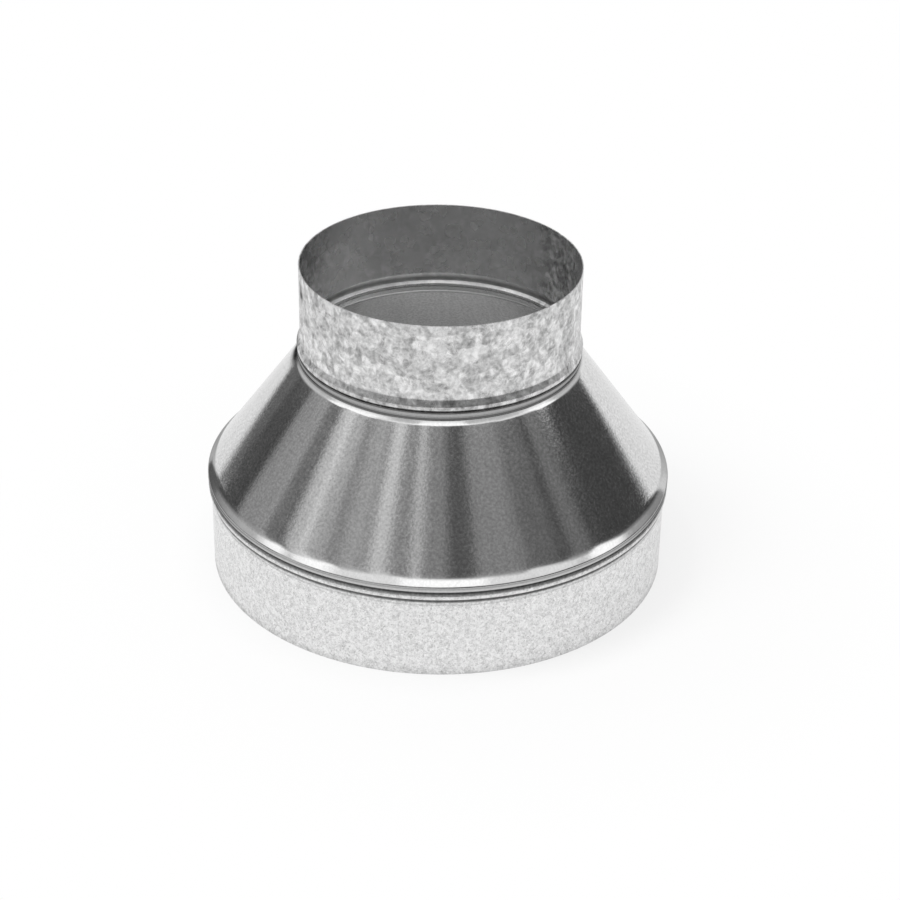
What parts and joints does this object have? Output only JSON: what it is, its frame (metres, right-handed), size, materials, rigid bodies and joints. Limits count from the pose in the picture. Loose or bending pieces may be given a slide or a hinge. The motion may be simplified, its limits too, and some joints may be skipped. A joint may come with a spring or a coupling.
{
  "type": "duct reducer",
  "caption": "Conical galvanised sheet-steel duct reducer: a small collar and a large collar joined to a cone by rolled lock seams, plain rims for slip-on or slip-in duct.",
  "frame": {"origin": "centre of the large collar's rim, on the surface that the reducer stands on", "axes": "+Z along the common axis of both collars, up to the small end"},
  "size_m": [0.2574, 0.2574, 0.1785],
  "materials": {
    "coarse_spangle": "hot-dip galvanised with a coarse spangle, satin",
    "smooth_zinc": "galvanised with minimised spangle, fine grain, bright",
    "fine_spangle": "hot-dip galvanised with a fine pale spangle, satin"
  },
  "bodies": {
    "root": {"small_collar": "coarse_spangle", "cone": "smooth_zinc", "large_collar": "fine_spangle"}
  },
  "joints": []
}
